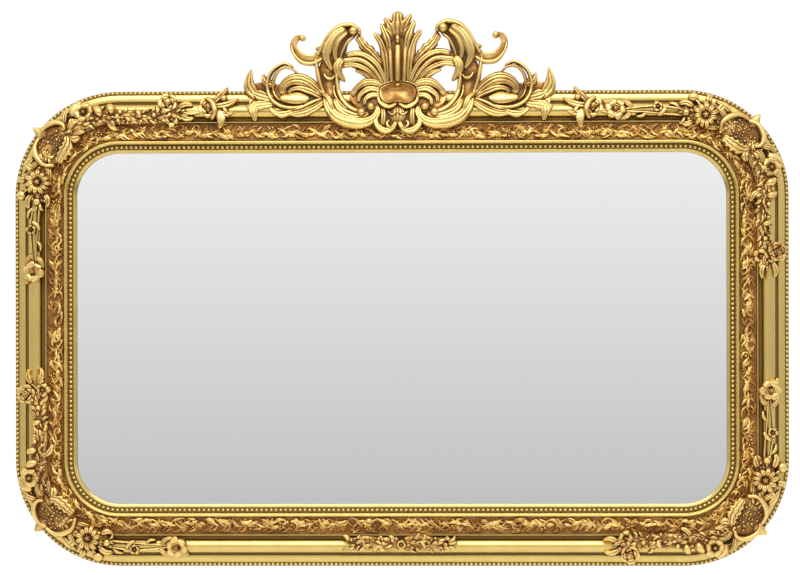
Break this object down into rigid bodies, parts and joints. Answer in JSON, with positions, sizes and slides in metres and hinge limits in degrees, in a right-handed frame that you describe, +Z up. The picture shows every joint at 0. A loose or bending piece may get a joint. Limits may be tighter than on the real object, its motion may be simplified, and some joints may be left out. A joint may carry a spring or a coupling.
{
  "type": "wall mirror",
  "caption": "Gilt rococo overmantel wall mirror with a rounded moulded frame, a pierced carved crest and applied flower ornaments, hung by the back of its top rail.",
  "frame": {"origin": "on the flat back of the top rail, at the middle of its width, where the mirror is hung on the wall", "axes": "+Y into the wall, away from the viewer; +X to the viewer's right along the mirror's width; +Z up"},
  "size_m": [1.27, 0.0584, 0.9089],
  "materials": {
    "gilt_frame": "water gilding over gesso and red bole, burnished on the plain members",
    "gilt_ornament": "gilding over red bole, rubbed and toned dark in the hollows",
    "silvered_glass": "silvered float glass without a bevel",
    "board": "plain stained board"
  },
  "bodies": {
    "root": {"frame_moulding": "gilt_frame", "mirror_glass": "silvered_glass", "back_board": "board", "crest": "gilt_ornament", "corner_ornament_upper_left": "gilt_ornament", "corner_ornament_upper_right": "gilt_ornament", "corner_ornament_lower_left": "gilt_ornament", "corner_ornament_lower_right": "gilt_ornament", "bottom_spray": "gilt_ornament"}
  },
  "joints": []
}
